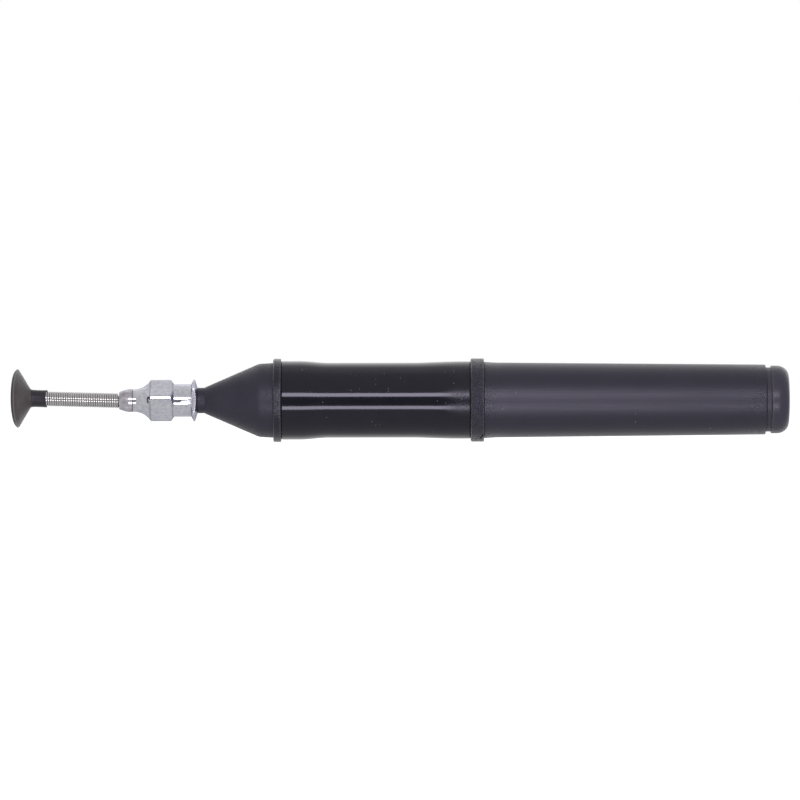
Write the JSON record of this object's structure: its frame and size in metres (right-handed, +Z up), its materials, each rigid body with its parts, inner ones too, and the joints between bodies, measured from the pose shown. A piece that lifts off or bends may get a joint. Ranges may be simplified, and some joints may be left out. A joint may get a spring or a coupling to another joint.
{
  "type": "vacuum pick-up pen",
  "caption": "Hand-squeezed vacuum pick-up pen: suction cup on a coil neck, metal lock hub, cone nose, waisted rubber squeeze sleeve between collars, tapered barrel and end plug.",
  "frame": {"origin": "bottom centre of the bounding box: below the middle of the pen's length, on the surface its collars stand on", "axes": "+X along the pen from the suction cup to the end plug, +Z up; the side view looks along +Y"},
  "size_m": [0.1466, 0.0156, 0.0157],
  "materials": {
    "cup_rubber": "matte soft rubber",
    "black_rubber": "matte black rubber",
    "coil_wire": "drawn wire",
    "liner_plastic": "translucent tube",
    "ferrule_metal": "satin, slightly pink plate",
    "hub_metal": "satin nickel plate",
    "nose_plastic": "fine matte moulding",
    "front_collar_plastic": "fine matte moulding",
    "seal_rubber": "black rubber",
    "core_metal": "drawn tube",
    "sleeve_rubber": "glossy moulded rubber",
    "rear_collar_plastic": "speckled matte moulding",
    "connector_plastic": "plain turned plastic, hidden inside",
    "barrel_plastic": "satin, fine lengthwise streaks",
    "plug_plastic": "satin moulding"
  },
  "bodies": {
    "pen": {"nose_cone": "nose_plastic", "nose_seal": "seal_rubber", "front_collar": "front_collar_plastic", "front_connector": "connector_plastic", "front_core_seal": "seal_rubber", "core_tube": "core_metal", "rear_core_seal": "seal_rubber", "squeeze_sleeve": "sleeve_rubber", "rear_collar": "rear_collar_plastic", "rear_connector": "connector_plastic", "barrel_seal": "seal_rubber", "rear_barrel": "barrel_plastic"},
    "upper_wall": {"upper_squeeze_wall": "sleeve_rubber"},
    "lower_wall": {"lower_squeeze_wall": "sleeve_rubber"},
    "nozzle": {"nozzle_hub": "hub_metal", "crimp_ferrule": "ferrule_metal", "coil_sheath": "coil_wire", "airway_tube": "liner_plastic"},
    "cup_neck": {"cup_sleeve": "black_rubber"},
    "cup": {"suction_cup": "cup_rubber"},
    "plug": {"end_plug": "plug_plastic", "plug_gasket": "black_rubber"}
  },
  "joints": [
    {"name": "upper_wall_press", "type": "slide", "parent": "pen", "child": "upper_wall", "axis": [0, 0, -1], "range_m": [0, 0.0025], "stiffness_N_per_m": 3000},
    {"name": "lower_wall_press", "type": "slide", "parent": "pen", "child": "lower_wall", "axis": [0, 0, 1], "range_m": [0, 0.0025]},
    {"name": "nozzle_pull", "type": "slide", "parent": "pen", "child": "nozzle", "axis": [-1, 0, 0], "range_m": [0, 0.008]},
    {"name": "coil_flex", "type": "hinge", "parent": "nozzle", "child": "cup_neck", "pos_m": [-0.05986, 0, 0.00804], "axis": [0, 1, 0], "range_deg": [-25, 25], "stiffness_Nm_per_rad": 0.02, "deforming": ["coil_sheath", "airway_tube"]},
    {"name": "cup_pull", "type": "slide", "parent": "cup_neck", "child": "cup", "axis": [-0.9911, 0.1305, 0.0277], "range_m": [0, 0.004]},
    {"name": "plug_pull", "type": "slide", "parent": "pen", "child": "plug", "axis": [1, 0, 0], "range_m": [0, 0.012]}
  ],
  "couplings": [
    {"joint": "lower_wall_press", "follows": "upper_wall_press", "ratio": 1}
  ]
}
